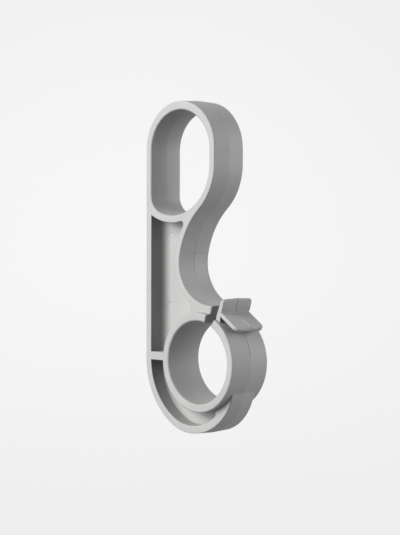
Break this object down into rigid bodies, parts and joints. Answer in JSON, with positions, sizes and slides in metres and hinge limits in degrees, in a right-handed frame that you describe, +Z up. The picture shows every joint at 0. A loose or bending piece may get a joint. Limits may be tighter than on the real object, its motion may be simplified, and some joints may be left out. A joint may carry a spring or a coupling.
{
  "type": "curtain rod bracket",
  "caption": "One-piece moulded curtain rod bracket with a hanging loop, an open saddle and a split spring ring opened by a thumb tab.",
  "frame": {"origin": "centre of the rod ring, on its axis and at mid depth", "axes": "+Z up from the rod ring to the hanging loop, +Y along the rod from front to back, +X from the spine towards the thumb tab"},
  "size_m": [0.039, 0.016, 0.1027],
  "materials": {
    "plastic": "satin moulded grey"
  },
  "bodies": {
    "root": {"bracket": "plastic"}
  },
  "joints": []
}
